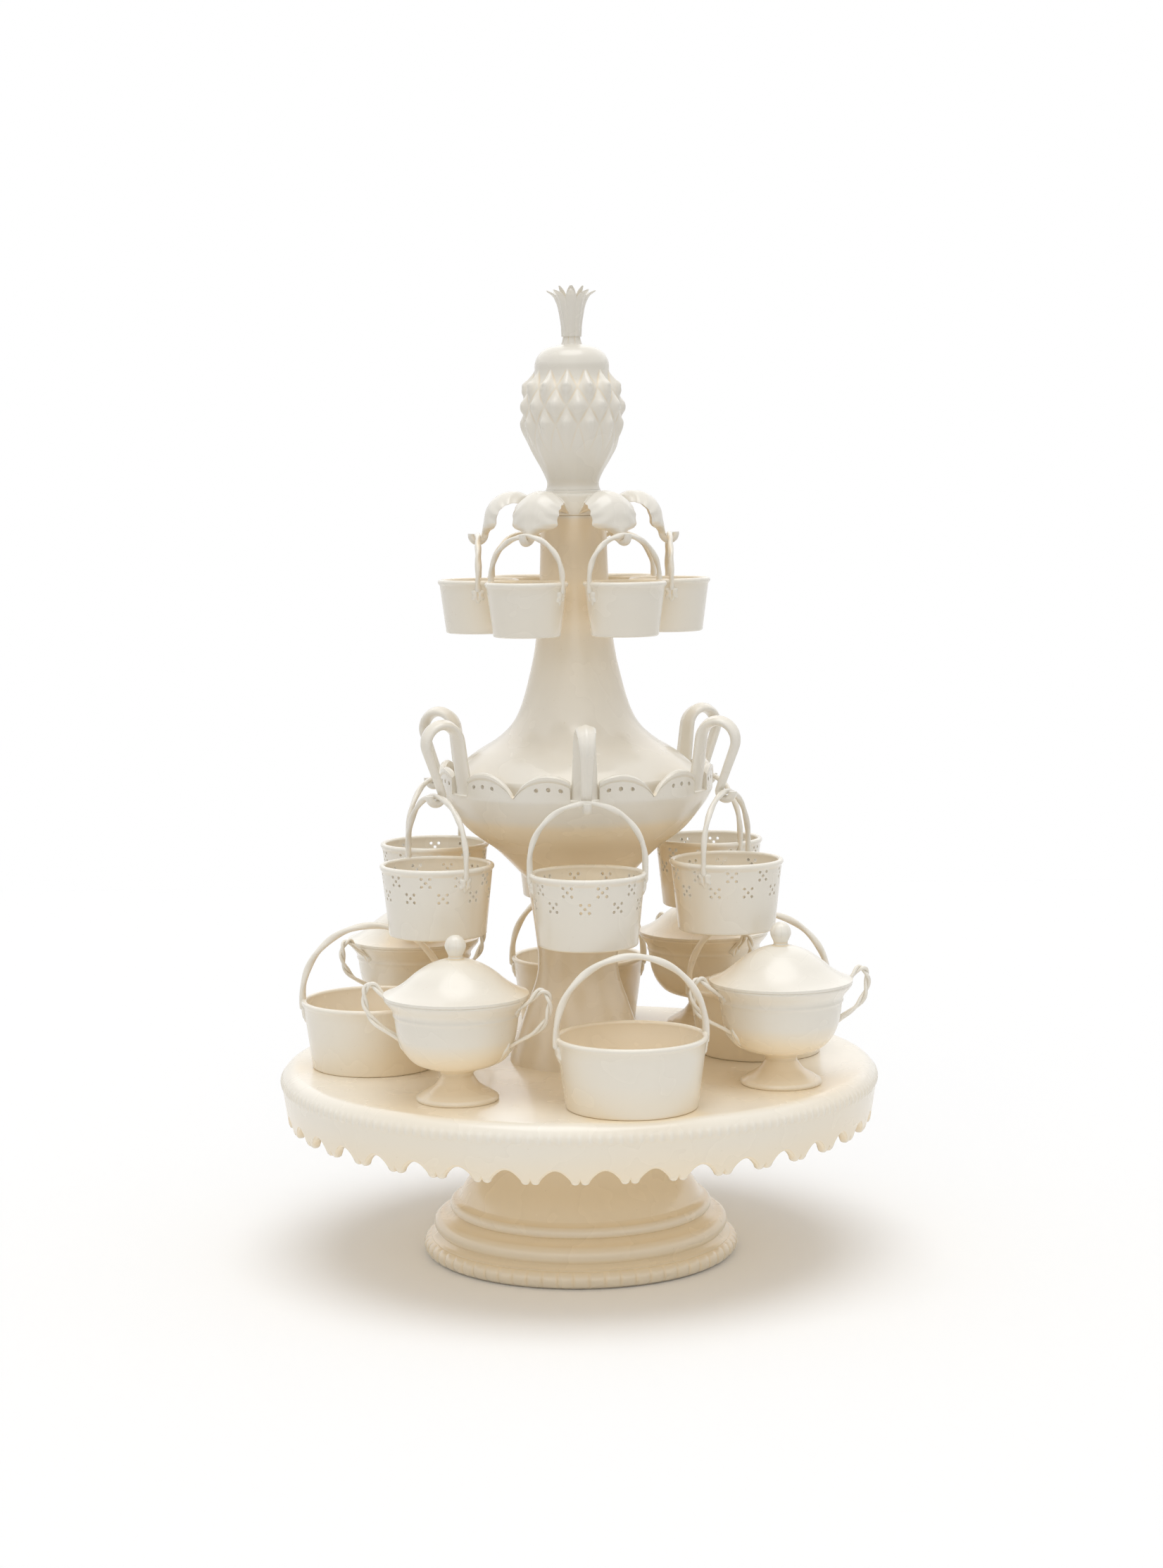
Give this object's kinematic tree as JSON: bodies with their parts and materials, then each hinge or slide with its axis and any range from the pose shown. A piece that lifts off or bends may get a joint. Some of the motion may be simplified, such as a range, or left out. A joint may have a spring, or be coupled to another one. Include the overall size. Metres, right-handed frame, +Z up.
{
  "type": "table epergne",
  "caption": "Tiered earthenware table centrepiece: footed platter, lobed bowl, trumpet column and pineapple finial, hung and set with small baskets and covered two-handled tureens.",
  "frame": {"origin": "on the table under the middle of the foot", "axes": "+Z up along the column, -Y towards the front of the picture, +X to its right"},
  "size_m": [0.378, 0.378, 0.61],
  "materials": {
    "cream_glaze": "glossy"
  },
  "bodies": {
    "stand": {"pedestal_foot": "cream_glaze", "platter": "cream_glaze"},
    "bowl_tier": {"lower_stem": "cream_glaze", "scalloped_bowl": "cream_glaze", "lower_arm_1": "cream_glaze", "lower_arm_2": "cream_glaze", "lower_arm_3": "cream_glaze", "lower_arm_4": "cream_glaze", "lower_arm_5": "cream_glaze", "lower_arm_6": "cream_glaze"},
    "column_tier": {"trumpet_column": "cream_glaze", "leaf_canopy": "cream_glaze"},
    "finial": {"pineapple": "cream_glaze", "pineapple_crown": "cream_glaze"},
    "lower_basket_1": {"lower_basket_1": "cream_glaze", "lower_basket_handle_1": "cream_glaze"},
    "lower_basket_2": {"lower_basket_2": "cream_glaze", "lower_basket_handle_2": "cream_glaze"},
    "lower_basket_3": {"lower_basket_3": "cream_glaze", "lower_basket_handle_3": "cream_glaze"},
    "lower_basket_4": {"lower_basket_4": "cream_glaze", "lower_basket_handle_4": "cream_glaze"},
    "lower_basket_5": {"lower_basket_5": "cream_glaze", "lower_basket_handle_5": "cream_glaze"},
    "lower_basket_6": {"lower_basket_6": "cream_glaze", "lower_basket_handle_6": "cream_glaze"},
    "upper_basket_1": {"upper_basket_1": "cream_glaze", "upper_basket_handle_1": "cream_glaze"},
    "upper_basket_2": {"upper_basket_2": "cream_glaze", "upper_basket_handle_2": "cream_glaze"},
    "upper_basket_3": {"upper_basket_3": "cream_glaze", "upper_basket_handle_3": "cream_glaze"},
    "upper_basket_4": {"upper_basket_4": "cream_glaze", "upper_basket_handle_4": "cream_glaze"},
    "upper_basket_5": {"upper_basket_5": "cream_glaze", "upper_basket_handle_5": "cream_glaze"},
    "upper_basket_6": {"upper_basket_6": "cream_glaze", "upper_basket_handle_6": "cream_glaze"},
    "platter_basket_1": {"platter_basket_1": "cream_glaze", "platter_basket_handle_1": "cream_glaze"},
    "platter_basket_2": {"platter_basket_2": "cream_glaze", "platter_basket_handle_2": "cream_glaze"},
    "platter_basket_3": {"platter_basket_3": "cream_glaze", "platter_basket_handle_3": "cream_glaze"},
    "platter_basket_4": {"platter_basket_4": "cream_glaze", "platter_basket_handle_4": "cream_glaze"},
    "tureen_1": {"tureen_1": "cream_glaze", "tureen_handles_1": "cream_glaze"},
    "tureen_2": {"tureen_2": "cream_glaze", "tureen_handles_2": "cream_glaze"},
    "tureen_3": {"tureen_3": "cream_glaze", "tureen_handles_3": "cream_glaze"},
    "tureen_4": {"tureen_4": "cream_glaze", "tureen_handles_4": "cream_glaze"},
    "tureen_cover_1": {"tureen_cover_1": "cream_glaze"},
    "tureen_cover_2": {"tureen_cover_2": "cream_glaze"},
    "tureen_cover_3": {"tureen_cover_3": "cream_glaze"},
    "tureen_cover_4": {"tureen_cover_4": "cream_glaze"}
  },
  "joints": [
    {"name": "bowl_tier_lift", "type": "slide", "parent": "stand", "child": "bowl_tier", "axis": [0, 0, 1], "range_m": [0, 0.04]},
    {"name": "column_tier_lift", "type": "slide", "parent": "bowl_tier", "child": "column_tier", "axis": [0, 0, 1], "range_m": [0, 0.04]},
    {"name": "finial_lift", "type": "slide", "parent": "column_tier", "child": "finial", "axis": [0, 0, 1], "range_m": [0, 0.04]},
    {"name": "lower_basket_1_swing", "type": "hinge", "parent": "bowl_tier", "child": "lower_basket_1", "pos_m": [0.00629, -0.10281, 0.294], "axis": [0.061, -0.9981, 0], "range_deg": [-10, 10]},
    {"name": "lower_basket_2_swing", "type": "hinge", "parent": "bowl_tier", "child": "lower_basket_2", "pos_m": [0.09218, -0.04596, 0.294], "axis": [0.8949, -0.4462, 0], "range_deg": [-10, 10]},
    {"name": "lower_basket_3_swing", "type": "hinge", "parent": "bowl_tier", "child": "lower_basket_3", "pos_m": [0.08589, 0.05685, 0.294], "axis": [0.8339, 0.5519, 0], "range_deg": [-10, 10]},
    {"name": "lower_basket_4_swing", "type": "hinge", "parent": "bowl_tier", "child": "lower_basket_4", "pos_m": [-0.00629, 0.10281, 0.294], "axis": [-0.061, 0.9981, 0], "range_deg": [-10, 10]},
    {"name": "lower_basket_5_swing", "type": "hinge", "parent": "bowl_tier", "child": "lower_basket_5", "pos_m": [-0.09218, 0.04596, 0.294], "axis": [-0.8949, 0.4462, 0], "range_deg": [-10, 10]},
    {"name": "lower_basket_6_swing", "type": "hinge", "parent": "bowl_tier", "child": "lower_basket_6", "pos_m": [-0.08589, -0.05685, 0.294], "axis": [-0.8339, -0.5519, 0], "range_deg": [-10, 10]},
    {"name": "upper_basket_1_swing", "type": "hinge", "parent": "column_tier", "child": "upper_basket_1", "pos_m": [0.0308, -0.05126, 0.4522], "axis": [0.515, -0.8572, 0], "range_deg": [-8, 8]},
    {"name": "upper_basket_2_swing", "type": "hinge", "parent": "column_tier", "child": "upper_basket_2", "pos_m": [0.05979, 0.00104, 0.4522], "axis": [0.9998, 0.0175, 0], "range_deg": [-8, 8]},
    {"name": "upper_basket_3_swing", "type": "hinge", "parent": "column_tier", "child": "upper_basket_3", "pos_m": [0.02899, 0.0523, 0.4522], "axis": [0.4848, 0.8746, 0], "range_deg": [-8, 8]},
    {"name": "upper_basket_4_swing", "type": "hinge", "parent": "column_tier", "child": "upper_basket_4", "pos_m": [-0.0308, 0.05126, 0.4522], "axis": [-0.515, 0.8572, 0], "range_deg": [-8, 8]},
    {"name": "upper_basket_5_swing", "type": "hinge", "parent": "column_tier", "child": "upper_basket_5", "pos_m": [-0.05979, -0.00104, 0.4522], "axis": [-0.9998, -0.0175, 0], "range_deg": [-8, 8]},
    {"name": "upper_basket_6_swing", "type": "hinge", "parent": "column_tier", "child": "upper_basket_6", "pos_m": [-0.02899, -0.0523, 0.4522], "axis": [-0.4848, -0.8746, 0], "range_deg": [-8, 8]},
    {"name": "platter_basket_1_draw", "type": "slide", "parent": "stand", "child": "platter_basket_1", "axis": [0.2181, -0.9759, 0], "range_m": [0, 0.12]},
    {"name": "platter_basket_2_draw", "type": "slide", "parent": "stand", "child": "platter_basket_2", "axis": [0.9848, 0.1736, 0], "range_m": [0, 0.12]},
    {"name": "platter_basket_3_draw", "type": "slide", "parent": "stand", "child": "platter_basket_3", "axis": [0, 1, 0], "range_m": [0, 0.12]},
    {"name": "platter_basket_4_draw", "type": "slide", "parent": "stand", "child": "platter_basket_4", "axis": [-0.9945, -0.1045, 0], "range_m": [0, 0.12]},
    {"name": "tureen_1_draw", "type": "slide", "parent": "stand", "child": "tureen_1", "axis": [-0.5358, -0.8443, 0], "range_m": [0, 0.12]},
    {"name": "tureen_2_draw", "type": "slide", "parent": "stand", "child": "tureen_2", "axis": [0.8443, -0.5358, 0], "range_m": [0, 0.12]},
    {"name": "tureen_3_draw", "type": "slide", "parent": "stand", "child": "tureen_3", "axis": [0.6018, 0.7986, 0], "range_m": [0, 0.12]},
    {"name": "tureen_4_draw", "type": "slide", "parent": "stand", "child": "tureen_4", "axis": [-0.766, 0.6428, 0], "range_m": [0, 0.12]},
    {"name": "tureen_cover_1_lift", "type": "slide", "parent": "tureen_1", "child": "tureen_cover_1", "axis": [0, 0, 1], "range_m": [0, 0.005]},
    {"name": "tureen_cover_2_lift", "type": "slide", "parent": "tureen_2", "child": "tureen_cover_2", "axis": [0, 0, 1], "range_m": [0, 0.005]},
    {"name": "tureen_cover_3_lift", "type": "slide", "parent": "tureen_3", "child": "tureen_cover_3", "axis": [0, 0, 1], "range_m": [0, 0.005]},
    {"name": "tureen_cover_4_lift", "type": "slide", "parent": "tureen_4", "child": "tureen_cover_4", "axis": [0, 0, 1], "range_m": [0, 0.005]}
  ]
}
